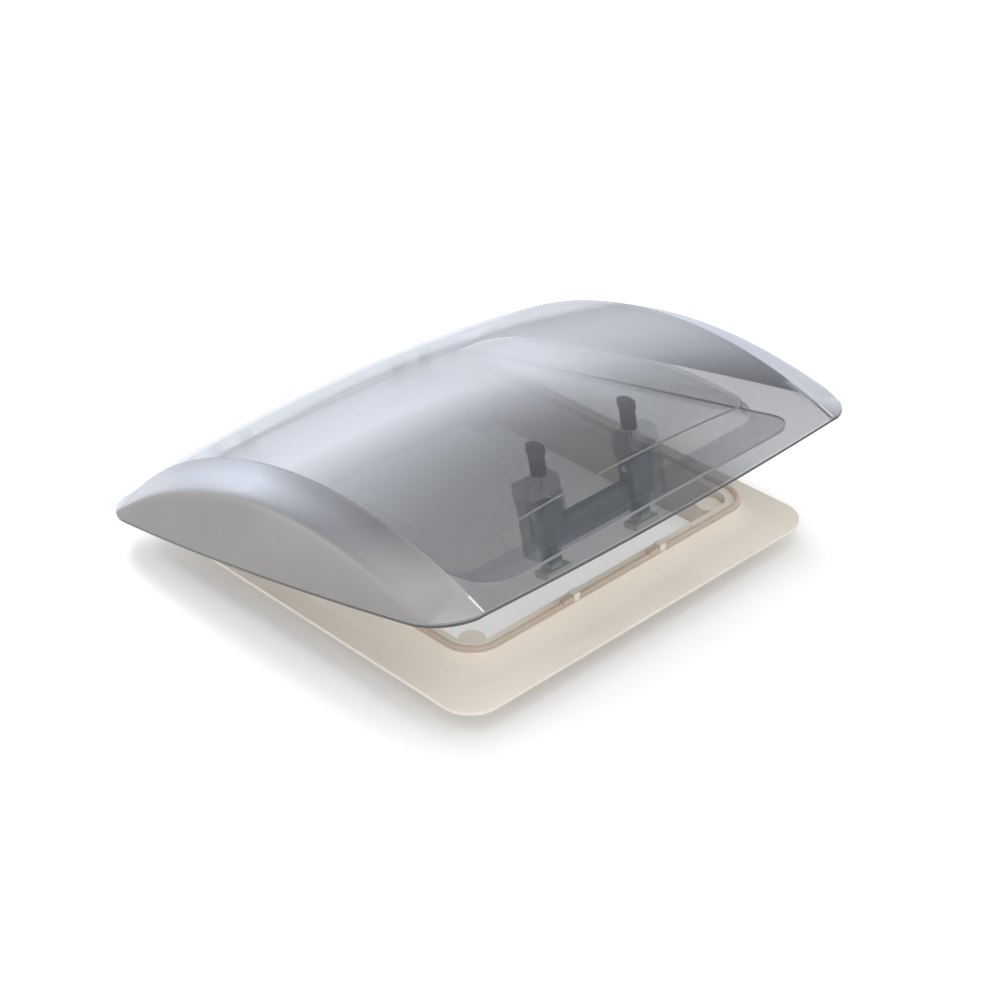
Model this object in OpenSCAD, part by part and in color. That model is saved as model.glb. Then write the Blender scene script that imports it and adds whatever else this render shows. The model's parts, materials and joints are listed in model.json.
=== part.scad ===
// Caravan roof vent: a cream roof frame with a double glazed tilting dome and a swing latch.
// Millimetres, +Z up. The origin is the centre of the roof opening, on the roof surface.
// The dome is drawn open by open_angle, hinged along the back edge of the frame.

/* [Roof frame] */
// Clear size of the square opening
opening_size = 273; // [250:1:340]
// Width of the flange, from the opening to its outer edge
flange_width = 43.5; // [42:0.5:50]
// Corner radius of the flange
flange_corner = 25; // [16:1:34]
// Thickness of the flange plate
flange_thick = 3; // [2.4:0.1:4]
// Corner radius of the opening
opening_corner = 14; // [13:1:17]
// Wall of the duct that drops through the roof
duct_wall = 2.7; // [2:0.1:3.2]
// Depth of the duct below the roof surface
duct_depth = 20; // [14:1:24]
// Height of the collar above the roof surface
collar_height = 19; // [17:0.5:21]
// Width of the collar top, from the opening outward
collar_width = 12.5; // [12:0.1:14]
// Radius of the cove between collar and flange
cove_radius = 13; // [9:0.5:14]
// Diameter of the corner screw bosses
boss_diameter = 19; // [16:0.5:22]
// Diameter of the pilot holes in the corner bosses
pilot_diameter = 3.4; // [2.8:0.1:4]
// Depth of the pilot holes
pilot_depth = 16; // [10:1:20]

/* [Collar seal] */
// Width of the seal and its groove
seal_width = 4.2; // [3.6:0.1:6]
// Depth of the seal groove
seal_groove = 2.4; // [1.6:0.1:3]
// How far the seal stands above the collar
seal_proud = 3; // [2:0.1:4]
// Distance of each locating peg from the middle
peg_spread = 45; // [36:1:56]
// Height of the locating pegs above the collar
peg_height = 6; // [4:0.5:7]
// Width of a locating peg
peg_width = 5.5; // [4:0.5:8]
// Width of the raised seal block beside each peg
seal_block = 10; // [6:1:14]

/* [Dome] */
// Overhang of the shut dome past the flange on each side
side_overhang = 37.5; // [34:0.5:44]
// Overhang of the shut dome past the front of the flange
front_overhang = 27; // [24:0.5:34]
// Overhang of the shut dome past the back of the flange
back_overhang = 18; // [17:0.5:22]
// Height of the crown above the rim plane
dome_rise = 78; // [74:1:84]
// Height of the arch along the creases
crease_rise = 64; // [60:1:70]
// Distance of each crease from the side rim
crease_inset = 40.5; // [36:0.5:46]
// Step down from the clear panel to the frosted sides
crease_step = 1.2; // [0.6:0.1:1.8]
// Fall of the frosted band from the crease to the shoulder
shoulder_drop = 12; // [9:0.5:15]
// Lean of the side walls from upright, in degrees
side_lean = 11.5; // [6:0.5:16]
// How far the rim edges bow out between the corners
rim_bow = 8.7; // [4:0.1:12]
// Length of the rounded rim corners
rim_corner = 35; // [28:1:44]
// Height of the upright edge along the front and sides
front_lip = 3.4; // [3:0.1:5]
// Height of the upright edge along the back
back_lip = 8; // [6:0.5:11]
// Thickness of the dome
dome_wall = 2.6; // [2:0.1:2.8]

/* [Inner pane] */
// Reach of the pane flange past the opening on each side
pane_overlap = 19.5; // [17:0.5:24]
// Gap between the front rim of the dome and the pane flange
pane_margin = 19.5; // [16:0.5:24]
// Reach of the pane flange behind the hinge axis
pane_tail = 19.5; // [19:0.5:22]
// Height of the flange underside above the rim plane
pane_seat = 4.3; // [4:0.1:6]
// Thickness of the pane
pane_wall = 2.2; // [1.6:0.1:2.6]
// Height of the pane crown above the rim plane
pane_rise = 47; // [44:1:50]
// Fall of the pane from the middle to its sides
pane_crown = 6; // [3:0.5:8]
// Radius of the pane arch from front to back
pane_arch = 505; // [470:5:600]

/* [Hinges] */
// Opening angle of the dome
open_angle = 11.9; // [0:0.1:24]
// Distance of each hinge from the middle
hinge_spread = 95; // [80:1:110]
// Distance of the hinge axis from the flange edge
hinge_inset = 18; // [17:0.5:19]
// Height of the hinge pads on the frame
pad_height = 6; // [5:0.5:7]
// Thickness of the hinge plates
plate_thick = 2.5; // [2:0.1:3]
// Diameter of the hinge pins
pin_diameter = 4; // [3:0.1:4.4]
// Radius of the leaf knuckle
knuckle_radius = 4.2; // [3.8:0.1:4.6]
// Width of the leaf knuckle
knuckle_width = 14; // [12:0.5:16]
// Width of each ear of the hinge base
ear_width = 5; // [4:0.5:6]
// Thickness of the friction washers
washer_thick = 1; // [0.8:0.1:1.4]

/* [Latch] */
// Distance of each latch lever from the middle
latch_spread = 46; // [44:1:54]
// Distance of the latch pivots behind the front edge of the opening
latch_inset = 11; // [10:0.5:14]
// Height of the latch pivots above the rim plane
pivot_height = 3; // [2:0.5:5]
// Diameter of the latch pivot pins
latch_pin_diameter = 5; // [4:0.1:6]
// Width of the latch levers
lever_width = 20; // [14:0.5:22]
// Radius of the lever heads
lever_head = 9; // [8:0.1:9.2]
// Width of the feet that catch under the duct
foot_width = 24; // [20:1:40]
// Thickness of the bracket cheeks
cheek_thick = 2.6; // [2:0.1:3]
// Height of the grip bar
grip_height = 21; // [15:0.5:25]
// Thickness of the grip bar
grip_thick = 8; // [7:0.5:9]
// Reach of the clear pillar beyond the middle of each lever
pillar_reach = 21; // [18:1:32]
// Diameter of the spacer bushes
bush_diameter = 11.5; // [11:0.5:12.5]
// Diameter of the heads of the bushes
bush_head = 13.5; // [13:0.5:18]

/* [Hidden] */
$fn = 64;
// General running and seating clearances
fit_gap = 0.05;
seat_gap = 0.3;
side_gap = 0.3;
through = 1;

// Screw sizes
screw_diameter = 4;
screw_head = 7.4;
screw_head_height = 2.2;

// Frame levels and radii worked out from the opening
opening_half = opening_size / 2;
flange_half = opening_half + flange_width;
collar_half = opening_half + collar_width;
groove_margin = 1.5;
groove_start = collar_half - seal_width - groove_margin;
seal_top = collar_height + seal_proud;
collar_skin = 3;
boss_gap = 3;
boss_place = opening_half - boss_diameter / 2 - boss_gap;
boss_drop = 5;
boss_top = collar_height - boss_drop;
boss_web = 6;
peg_setback = 1;
peg_depth = collar_width - 6;
block_drop = 1.5;

// Rim plan of the dome, and how far its middle leads towards the front when shut
dome_half_width = flange_half + side_overhang;
dome_half_length = flange_half + (front_overhang + back_overhang) / 2;
dome_lead = (front_overhang - back_overhang) / 2;
crease_half = dome_half_width - crease_inset;

// Hinge axis and the place of the shut dome over it
hinge_y = flange_half - hinge_inset;
hinge_z = pad_height + plate_thick + knuckle_radius + seat_gap;
rim_level = seal_top + seat_gap - pane_seat;
dome_reach = hinge_y + dome_lead;

// Hinge bases on their pads
ear_radius = knuckle_radius + seat_gap + 0.4;
ear_root = 1;
hinge_half = knuckle_width / 2 + washer_thick + ear_width;
pad_width = 2 * hinge_half + 4 * screw_head;
pad_margin = 1;
plate_front = collar_half + cove_radius / 2;
plate_back = flange_half - 4;
base_screw_x = hinge_half + screw_head;
base_screw_y = hinge_y + 7;
base_screw_floor = 1;
pin_head = 2;
pin_head_diameter = pin_diameter + 3;
pin_tail = 3;
ring_thick = 1.2;

// Leaf plates in the frame of the dome
axis_v = dome_reach;
axis_w = hinge_z - rim_level;
leaf_thick = 3;
leaf_front = collar_half + dome_lead + 1;
leaf_screw_x = hinge_half + 2;
leaf_width = 2 * leaf_screw_x + 1.6 * screw_head;
leaf_screw_v = axis_v + 11;
spacer_bore = 7;
spacer_diameter = 11;

// Crease, shoulder and corners of the dome; a greater weight makes a sharper shoulder
crease_width = 1.5;
corner_cut = 0.985;
shoulder_weight = 8;

// Grid of the dome surface
dome_rows = 32;
side_columns = 6;
panel_columns = 14;
dome_columns = 2 * side_columns + panel_columns + 2;

// Plan of the inner pane: its flange edge, and the tray over the opening
pane_half_width = opening_half + pane_overlap;
pane_front = dome_half_length - pane_margin;
pane_back = axis_v + pane_tail;
tray_half = opening_half + 4.5;
tray_corner = 16;
notch_margin = 3;
hole_play = 0.6;
ring_corner_steps = 4;
ring_side_steps = 10;
ring_points = 4 * (ring_corner_steps + ring_side_steps);

// Rings of the pane from its flange edge inward: distance in from the tray wall, and kind of level
pane_step = 11;
pane_step_slope = 1.5;
pane_fold = 1.6;
pane_rings = [
    [0, "flange"], [0, "base"], [1, "low"], [2.6, "high"], [4.4, "fold"], [8, "top"],
    [24, "top"], [40, "top"], [58, "top"], [78, "top"], [98, "top"], [117, "top"], [131, "top"]
];
pane_levels = len(pane_rings);

// Latch: place of its pivots and bolts in the frame of the dome, the brackets and the levers
latch_front = opening_half - latch_inset - dome_lead;
bolt_setback = 2;
bolt_front = latch_front - bolt_setback;
bracket_gap = 3;
bracket_low = pivot_height + lever_head + bracket_gap;
screw_floor = 2;
cheek_offset = lever_width / 2 + side_gap;
cheek_depth = 13;
pillar_low = -26;
lever_top = 6;
lever_flat = sqrt(lever_head * lever_head - lever_top * lever_top);
lever_front = 2.5;
lever_back = 8;
foot_front = 5;
foot_thick = 5;
foot_gap = 2.5;
foot_top = rim_level + pivot_height + duct_depth + foot_gap;
neck_width = lever_width / 2;
neck_height = 14;
grip_drop = 2;

// Bushes between the panes
bush_head_height = 3;
bush_recess = 3.5;
latch_top = panel_under(latch_spread, -bolt_front) - seat_gap;
latch_base = pane_height(latch_spread, -bolt_front) + seat_gap;
latch_head_level = latch_top - bush_recess - screw_head_height;

// Height of a circular arc of the given rise over a half chord
function arc_height(rise, half, x) =
    let (radius = (half * half + rise * rise) / (2 * rise))
    sqrt(radius * radius - x * x) - radius + rise;

// Half length of the rim at u and half width of the rim at v; inset is the wall for the underside
function rim_half_length(u, inset) = dome_half_length - inset - rim_bow * pow(u / dome_half_width, 2);
function rim_half_width(v, inset) = dome_half_width - inset - rim_bow * pow(v / dome_half_length, 2);

// Height of the upright edge, from the front (t = -1) to the back (t = 1)
function lip_height(t, inset) =
    front_lip - inset / 2 + (t > 0 ? (back_lip - front_lip) * pow(t, 4) : 0);

// Clear panel between the creases, with s across and t from front to back
function panel_point(s, t, inset) =
    let (u = crease_half * s)
    let (half = rim_half_length(u, inset))
    let (rise = dome_rise - (dome_rise - crease_rise) * s * s - front_lip - inset / 2)
    [u, half * t, lip_height(t, inset) + arc_height(rise, half, half * t)];

// Rounding of the rim plan at the corners: 1 along the sides, small at the ends
function corner_share(t) =
    let (half = rim_half_length(crease_half, 0))
    let (past = max(0, abs(t) * half - half + rim_corner) / rim_corner)
    sqrt(1 - pow(corner_cut * past, 2));

// Frosted side from the crease (s = 0) along the band, over the shoulder and down the wall (s = 1)
function side_point(s, t, inset) =
    let (crease = panel_point(1, t, inset), low = lip_height(t, inset))
    let (reach = crease_half + (rim_half_width(crease[1], inset) - crease_half) * corner_share(t))
    let (start = [crease_half + crease_width, crease[2] - crease_step * (1 - pow(t, 8))])
    let (edge = [reach, low], fall = start[1] - low, wall = fall - shoulder_drop)
    let (shoulder = wall > 0
        ? [reach - tan(side_lean) * wall, low + wall]
        : start + (1 + fall / shoulder_drop) / 2 * (edge - start))
    let (a = (1 - s) * (1 - s), b = 2 * shoulder_weight * s * (1 - s), c = s * s)
    let (place = (a * start + b * shoulder + c * edge) / (a + b + c))
    [place[0], crease[1], place[1]];

// Point of the dome at row i and column j, on its outside (inset 0) or its underside
function dome_point(i, j, inset) =
    let (t = -cos(180 * i / dome_rows))
    let (left = side_columns - j, right = j - side_columns - panel_columns - 2)
    left >= 0
        ? let (p = side_point(left / side_columns, t, inset)) [-p[0], p[1], p[2]]
        : right >= 0
            ? side_point(right / side_columns, t, inset)
            : panel_point(2 * (j - side_columns - 1) / panel_columns - 1, t, inset);

// Height of the underside of the clear panel above a place (u, v), and its slopes
function panel_under(u, v) =
    panel_point(u / crease_half, v / rim_half_length(u, dome_wall), dome_wall)[2];
function panel_slope_u(u, v) = (panel_under(u + 1, v) - panel_under(u - 1, v)) / 2;
function panel_slope_v(u, v) = (panel_under(u, v + 1) - panel_under(u, v - 1)) / 2;

// Height of the top of the inner pane and its slopes
function pane_height(u, v) =
    let (run = v - dome_lead)
    pane_rise - pane_crown * pow(u / tray_half, 2)
    - pane_arch + sqrt(pane_arch * pane_arch - run * run);
function pane_slope_u(u) = -2 * pane_crown * u / (tray_half * tray_half);
function pane_slope_v(v) =
    let (run = v - dome_lead)
    -run / sqrt(pane_arch * pane_arch - run * run);

// Grid faces: two triangles for each cell of rows by columns points
function grid_faces(rows, columns, start, flip) = [
    for (i = [0 : rows - 1], j = [0 : columns - 1])
        let (a = start + i * (columns + 1) + j, b = a + 1, c = a + columns + 1, d = c + 1)
        each flip ? [[a, b, d], [a, d, c]] : [[a, d, b], [a, c, d]]
];

// Index of every grid point along the edge, in order round the grid
function grid_edge(rows, columns) = concat(
    [for (j = [0 : columns]) j],
    [for (i = [1 : rows]) i * (columns + 1) + columns],
    [for (j = [columns - 1 : -1 : 0]) rows * (columns + 1) + j],
    [for (i = [rows - 1 : -1 : 1]) i * (columns + 1)]
);

// Faces of a closed band between two loops of points
function band_faces(first, second) = [
    for (k = [0 : len(first) - 1])
        let (n = (k + 1) % len(first))
        each [[first[k], first[n], second[n]], [first[k], second[n], second[k]]]
];

// Point k of a rounded rectangle with its sides at the given half sizes
function ring_point(half_u, front, back, corner, k) =
    let (steps = ring_corner_steps + ring_side_steps, side = floor(k / steps), t = k % steps)
    let (corners = [[half_u, back], [-half_u, back], [-half_u, -front], [half_u, -front]])
    let (signs = [[1, 1], [-1, 1], [-1, -1], [1, -1]])
    let (turn = 90 * side + 90 * min(t, ring_corner_steps) / ring_corner_steps)
    let (share = max(t - ring_corner_steps, 0) / ring_side_steps)
    let (next = (side + 1) % 4)
    let (here = corners[side] - corner * signs[side] + corner * [cos(turn), sin(turn)])
    let (there = corners[next] - corner * signs[next] + corner * [cos(turn), sin(turn)])
    here + share * (there - here);

// Point k of ring i on the upper (side = 0) or lower (side = 1) surface of the pane
function pane_point(i, k, side) =
    let (kind = pane_rings[i][1], flange = pane_seat + pane_wall)
    let (half = tray_half - pane_rings[i][0] - side * pane_wall)
    let (corner = max(tray_corner - side * pane_wall - pane_rings[i][0] * 0.3, half * 0.1, 1))
    let (place = kind == "flange"
        ? ring_point(pane_half_width, pane_front, pane_back, flange_corner, k)
        : ring_point(half, half - dome_lead, half + dome_lead, corner, k))
    let (top = pane_height(place[0], place[1]))
    let (level = kind == "flange" || kind == "base" ? flange
        : kind == "low" ? pane_seat + pane_step
        : kind == "high" ? pane_seat + pane_step + pane_step_slope
        : kind == "fold" ? top - pane_fold
        : top)
    [place[0], place[1], level - side * pane_wall];

function pane_middle(side) = [0, dome_lead, pane_height(0, dome_lead) - side * pane_wall];

// Square band swept round the opening: the profile lies at x = half, outward positive
module swept_square(half, corner) {
    run = half - corner;
    for (side = [0 : 3])
        rotate(90 * side) {
            translate([half, run, 0])
                rotate([90, 0, 0])
                linear_extrude(2 * run)
                children();
            translate([run, run, 0])
                rotate_extrude(angle = 90)
                translate([corner, 0])
                children();
        }
}

module rounded_square(half, corner) {
    square([2 * half, 2 * (half - corner)], center = true);
    square([2 * (half - corner), 2 * half], center = true);
    for (x = [-1, 1], y = [-1, 1])
        translate([x, y] * (half - corner))
            circle(corner);
}

// Places children given in the frame of the dome: rim centre, u right, v back, w up
module on_dome() {
    translate([0, hinge_y, hinge_z])
        rotate([-open_angle, 0, 0])
        translate([0, -dome_reach, rim_level - hinge_z])
        children();
}

// Copies children to the left and right of the middle, at a distance along X
module both_sides(distance) {
    for (x = [-distance, distance])
        translate([x, 0, 0])
            children();
}

// Cylinder along X, centred on the origin
module rod(diameter, length) {
    rotate([0, 90, 0])
        cylinder(d = diameter, h = length, center = true);
}

// Wedge of space above a sloping plane through the origin
module space_above(slope_u, slope_v, size) {
    rotate([atan(slope_v), -atan(slope_u), 0])
        translate([-size / 2, -size / 2, 0])
        cube(size);
}

module space_below(slope_u, slope_v, size) {
    rotate([atan(slope_v), -atan(slope_u), 0])
        translate([-size / 2, -size / 2, -size])
        cube(size);
}

// Pan head screw with a cross recess: its head seat is at the origin, its shank points down
module pan_screw(length) {
    recess = screw_head / 2;
    difference() {
        union() {
            cylinder(d = screw_head, h = screw_head_height);
            translate([0, 0, -length])
                cylinder(d = screw_diameter, h = length + screw_head_height / 2);
        }
        for (turn = [0, 90])
            rotate(turn)
                translate([-recess / 2, -0.5, screw_head_height / 2])
                cube([recess, 1, screw_head_height]);
    }
}

// Profile of the frame wall: duct, collar top, outer wall and cove, x from the opening outward
module frame_profile() {
    foot = flange_thick;
    top_thick = collar_skin + seal_groove;
    translate([0, -duct_depth])
        square([duct_wall, duct_depth + collar_height]);
    translate([0, collar_height - top_thick])
        square([collar_width, top_thick]);
    translate([collar_width - collar_skin, 0])
        square([collar_skin, collar_height]);
    difference() {
        translate([collar_width - collar_skin, 0])
            square([cove_radius + collar_skin, foot + cove_radius]);
        translate([collar_width + cove_radius, foot + cove_radius])
            circle(cove_radius);
    }
}

// Groove for the seal, cut into the collar top
module groove_profile() {
    translate([groove_start - opening_half, collar_height - seal_groove])
        square([seal_width, seal_groove + through]);
}

// Locating peg on the front of the collar, in the break of the seal
module locating_peg() {
    root = seal_groove + through;
    translate([-peg_width / 2, -collar_half + peg_setback, collar_height - root])
        cube([peg_width, peg_depth, peg_height + root]);
}

module roof_frame() {
    flange_inside = collar_half - collar_skin / 2;
    color("antiquewhite")
        difference() {
            union() {
                swept_square(opening_half, opening_corner)
                    frame_profile();
                linear_extrude(flange_thick)
                    difference() {
                        rounded_square(flange_half, flange_corner);
                        rounded_square(flange_inside, opening_corner + flange_inside - opening_half);
                    }
                for (x = [-1, 1], y = [-1, 1])
                    translate([x * boss_place, y * boss_place, -duct_depth])
                        cylinder(d = boss_diameter, h = duct_depth + boss_top);
                for (x = [-1, 1], y = [-1, 1])
                    translate([x * boss_place, y * boss_place, -duct_depth])
                        rotate(atan2(y, x))
                        translate([0, -duct_wall / 2, 0])
                        cube([boss_diameter / 2 + boss_web, duct_wall, duct_depth + boss_top]);
                both_sides(hinge_spread)
                    translate([-pad_width / 2, flange_inside, 0])
                    cube([pad_width, plate_back + pad_margin - flange_inside, pad_height]);
                both_sides(peg_spread)
                    locating_peg();
            }
            difference() {
                swept_square(opening_half, opening_corner)
                    groove_profile();
                both_sides(peg_spread)
                    locating_peg();
            }
            for (x = [-1, 1], y = [-1, 1])
                translate([x * boss_place, y * boss_place, -duct_depth - through])
                    cylinder(d = pilot_diameter, h = pilot_depth + through);
            both_sides(hinge_spread)
                both_sides(base_screw_x)
                translate([0, base_screw_y, base_screw_floor])
                cylinder(d = screw_diameter + 2 * fit_gap, h = pad_height);
        }
}

module collar_seal() {
    bead = seal_width - 2 * fit_gap;
    bottom = collar_height - seal_groove + fit_gap;
    block_top = collar_height + peg_height - block_drop;
    color("tan")
        difference() {
            union() {
                swept_square(opening_half, opening_corner)
                    translate([groove_start - opening_half + fit_gap, bottom]) {
                        square([bead, seal_top - bottom - bead / 2]);
                        translate([bead / 2, seal_top - bottom - bead / 2])
                            circle(d = bead);
                    }
                both_sides(peg_spread)
                    translate([-peg_width / 2 - seal_block, -groove_start - seal_width + fit_gap, bottom])
                    cube([seal_block, bead, block_top - bottom]);
            }
            both_sides(peg_spread)
                translate([-peg_width / 2 - fit_gap, -collar_half - through, bottom - through])
                cube([peg_width + 2 * fit_gap, collar_width, seal_top]);
        }
}

module hinge_base(x) {
    bore = pin_diameter + 2 * fit_gap;
    color("dimgray")
        translate([x, 0, 0])
        difference() {
            union() {
                translate([-pad_width / 2 + pad_margin, plate_front, pad_height])
                    cube([pad_width - 2 * pad_margin, plate_back - plate_front, plate_thick]);
                both_sides(knuckle_width / 2 + washer_thick + ear_width / 2)
                    translate([0, hinge_y, hinge_z]) {
                        rod(2 * ear_radius, ear_width);
                        translate([-ear_width / 2, -ear_radius, pad_height + ear_root - hinge_z])
                            cube([ear_width, 2 * ear_radius, hinge_z - pad_height - ear_root]);
                    }
            }
            translate([0, hinge_y, hinge_z])
                rod(bore, 2 * hinge_half + 2 * through);
            both_sides(base_screw_x)
                translate([0, base_screw_y, pad_height - through])
                cylinder(d = screw_diameter + 2 * fit_gap, h = plate_thick + 2 * through);
        }
}

module hinge_base_left() {
    hinge_base(-hinge_spread);
}

module hinge_base_right() {
    hinge_base(hinge_spread);
}

module hinge_base_screws() {
    color("silver")
        both_sides(hinge_spread)
        both_sides(base_screw_x)
        translate([0, base_screw_y, pad_height + plate_thick])
        pan_screw(plate_thick + pad_height - base_screw_floor - seat_gap);
}

// Pin with its head on the outer ear and its tail past the inner ear
module hinge_pin(side) {
    color("silver")
        translate([side * hinge_spread, hinge_y, hinge_z]) {
            translate([-side * pin_tail / 2, 0, 0])
                rod(pin_diameter, 2 * hinge_half + pin_tail);
            translate([side * (hinge_half + pin_head / 2), 0, 0])
                rod(pin_head_diameter, pin_head);
        }
}

module hinge_pin_left() {
    hinge_pin(-1);
}

module hinge_pin_right() {
    hinge_pin(1);
}

module pin_rings() {
    color("gray")
        both_sides(hinge_spread - hinge_half - ring_thick / 2 - fit_gap)
        translate([0, hinge_y, hinge_z])
        difference() {
            rod(2 * knuckle_radius, ring_thick);
            rod(pin_diameter + 2 * fit_gap, ring_thick + through);
        }
}

module friction_washers() {
    color("black")
        both_sides(hinge_spread)
        both_sides((knuckle_width + washer_thick) / 2)
        translate([0, hinge_y, hinge_z])
        difference() {
            rod(2 * knuckle_radius, washer_thick);
            rod(pin_diameter + 2 * fit_gap, washer_thick + through);
        }
}

// Thin curved shell with an upright edge: arch from front to back, crown across, leaning sides
module outer_dome() {
    count = (dome_rows + 1) * (dome_columns + 1);
    edge = grid_edge(dome_rows, dome_columns);
    outer = [for (i = [0 : dome_rows], j = [0 : dome_columns]) dome_point(i, j, 0)];
    inner = [for (i = [0 : dome_rows], j = [0 : dome_columns]) dome_point(i, j, dome_wall)];
    outer_foot = [for (k = edge) [outer[k][0], outer[k][1], 0]];
    inner_foot = [for (k = edge) [inner[k][0], inner[k][1], 0]];
    inner_edge = [for (k = edge) count + k];
    outer_loop = [for (k = [0 : len(edge) - 1]) 2 * count + k];
    inner_loop = [for (k = [0 : len(edge) - 1]) 2 * count + len(edge) + k];
    color("slategray", 0.5)
        on_dome()
        polyhedron(
            points = concat(outer, inner, outer_foot, inner_foot),
            faces = concat(
                grid_faces(dome_rows, dome_columns, 0, false),
                grid_faces(dome_rows, dome_columns, count, true),
                band_faces(edge, outer_loop),
                band_faces(outer_loop, inner_loop),
                band_faces(inner_loop, inner_edge)
            )
        );
}

// Moulded tray with a flat flange, a stepped wall and an arched top
module pane_shell() {
    upper = [for (i = [0 : pane_levels - 1], k = [0 : ring_points - 1]) pane_point(i, k, 0)];
    lower = [for (i = [0 : pane_levels - 1], k = [0 : ring_points - 1]) pane_point(i, k, 1)];
    count = pane_levels * ring_points;
    rings = [
        for (i = [0 : 2 * pane_levels - 1])
            [for (k = [0 : ring_points - 1]) i * ring_points + k]
    ];
    last = pane_levels - 1;
    polyhedron(
        points = concat(upper, lower, [pane_middle(0), pane_middle(1)]),
        faces = concat(
            [for (i = [0 : last - 1]) each band_faces(rings[i + 1], rings[i])],
            [for (i = [0 : last - 1]) each band_faces(rings[pane_levels + i], rings[pane_levels + i + 1])],
            band_faces(rings[0], rings[pane_levels]),
            [for (k = [0 : ring_points - 1])
                let (n = (k + 1) % ring_points)
                [2 * count, rings[last][n], rings[last][k]]],
            [for (k = [0 : ring_points - 1])
                let (n = (k + 1) % ring_points)
                [2 * count + 1, rings[last + pane_levels][k], rings[last + pane_levels][n]]]
        )
    );
}

module inner_dome() {
    notch = peg_width + seal_block + 2 * notch_margin;
    notch_front = collar_half - dome_lead + notch_margin;
    notch_back = tray_half - dome_lead + seat_gap;
    color("lightsteelblue", 0.4)
        on_dome()
        difference() {
            pane_shell();
            both_sides(peg_spread)
                translate([-notch / 2 - seal_block / 2, -notch_front, pane_seat - through])
                cube([notch, notch_front - notch_back, pane_wall + 2 * through]);
            both_sides(latch_spread)
                translate([0, -bolt_front, 0])
                cylinder(d = screw_diameter + hole_play, h = pane_rise);
            both_sides(hinge_spread)
                both_sides(leaf_screw_x)
                translate([0, leaf_screw_v, 0])
                cylinder(d = screw_diameter + hole_play, h = pane_rise);
        }
}

module hinge_leaf(x) {
    color("dimgray")
        on_dome()
        translate([x, 0, 0])
        difference() {
            union() {
                translate([-leaf_width / 2, leaf_front, pane_seat - leaf_thick])
                    cube([leaf_width, pane_back - leaf_front, leaf_thick]);
                translate([0, axis_v, axis_w]) {
                    rod(2 * knuckle_radius, knuckle_width);
                    translate([-knuckle_width / 2, -knuckle_radius, 0])
                        cube([knuckle_width, 2 * knuckle_radius, pane_seat - axis_w - leaf_thick / 2]);
                }
            }
            translate([0, axis_v, axis_w])
                rod(pin_diameter + 2 * fit_gap, knuckle_width + 2 * through);
            both_sides(leaf_screw_x)
                translate([0, leaf_screw_v, pane_seat - leaf_thick - through])
                cylinder(d = screw_diameter + 2 * fit_gap, h = leaf_thick + 2 * through);
        }
}

module hinge_leaf_left() {
    hinge_leaf(-hinge_spread);
}

module hinge_leaf_right() {
    hinge_leaf(hinge_spread);
}

module leaf_screws() {
    color("silver")
        on_dome()
        both_sides(hinge_spread)
        both_sides(leaf_screw_x)
        translate([0, leaf_screw_v, pane_seat - leaf_thick])
        rotate([180, 0, 0])
        pan_screw(leaf_thick + pane_wall + spacer_bore - through);
}

// Spacer between the back flange of the pane and the underside of the dome, cut to its slope
module rear_spacer(u) {
    base = pane_seat + pane_wall;
    difference() {
        translate([u, leaf_screw_v, base])
            cylinder(d = spacer_diameter, h = dome_rise - base);
        translate([u, leaf_screw_v, panel_under(u, leaf_screw_v) - seat_gap])
            space_above(panel_slope_u(u, leaf_screw_v), panel_slope_v(u, leaf_screw_v), 4 * dome_rise);
        translate([u, leaf_screw_v, base - through])
            cylinder(d = screw_diameter + 2 * fit_gap, h = spacer_bore + through);
    }
}

module rear_spacers() {
    color("dimgray")
        on_dome()
        for (side = [-hinge_spread, hinge_spread], x = [-leaf_screw_x, leaf_screw_x])
            rear_spacer(side + x);
}

// Bush between the panes, with a head at its top: it stands on the inner pane and bears on the dome
module spacer_bush(u) {
    v = -bolt_front;
    dome_slopes = [panel_slope_u(u, v), panel_slope_v(u, v)];
    far = 4 * dome_rise;
    difference() {
        translate([u, v, 0])
            cylinder(d = bush_head, h = dome_rise);
        translate([u, v, latch_top])
            space_above(dome_slopes[0], dome_slopes[1], far);
        translate([u, v, latch_base])
            space_below(pane_slope_u(u), pane_slope_v(v), far);
        difference() {
            translate([u, v, 0])
                cylinder(d = bush_head + through, h = dome_rise);
            translate([u, v, -through])
                cylinder(d = bush_diameter, h = dome_rise + 2 * through);
            translate([u, v, latch_top - bush_head_height])
                space_above(dome_slopes[0], dome_slopes[1], far);
        }
        translate([u, v, 0])
            cylinder(d = screw_diameter + 2 * fit_gap, h = dome_rise);
        translate([u, v, latch_head_level])
            cylinder(d = screw_head + 4 * fit_gap, h = dome_rise);
    }
}

module spacer_bushes() {
    color("black")
        on_dome()
        for (u = [-latch_spread, latch_spread])
            spacer_bush(u);
}

module latch_screws() {
    color("silver")
        on_dome()
        both_sides(latch_spread)
        translate([0, -bolt_front, latch_head_level])
        pan_screw(latch_head_level - bracket_low - screw_floor);
}

// Cheek of a bracket, rounded below the pivot, with its middle at x
module bracket_cheek(x) {
    translate([x, -bolt_setback, pivot_height]) {
        rod(cheek_depth, cheek_thick);
        translate([-cheek_thick / 2, -cheek_depth / 2, 0])
            cube([cheek_thick, cheek_depth, bracket_low + through - pivot_height]);
    }
}

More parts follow.
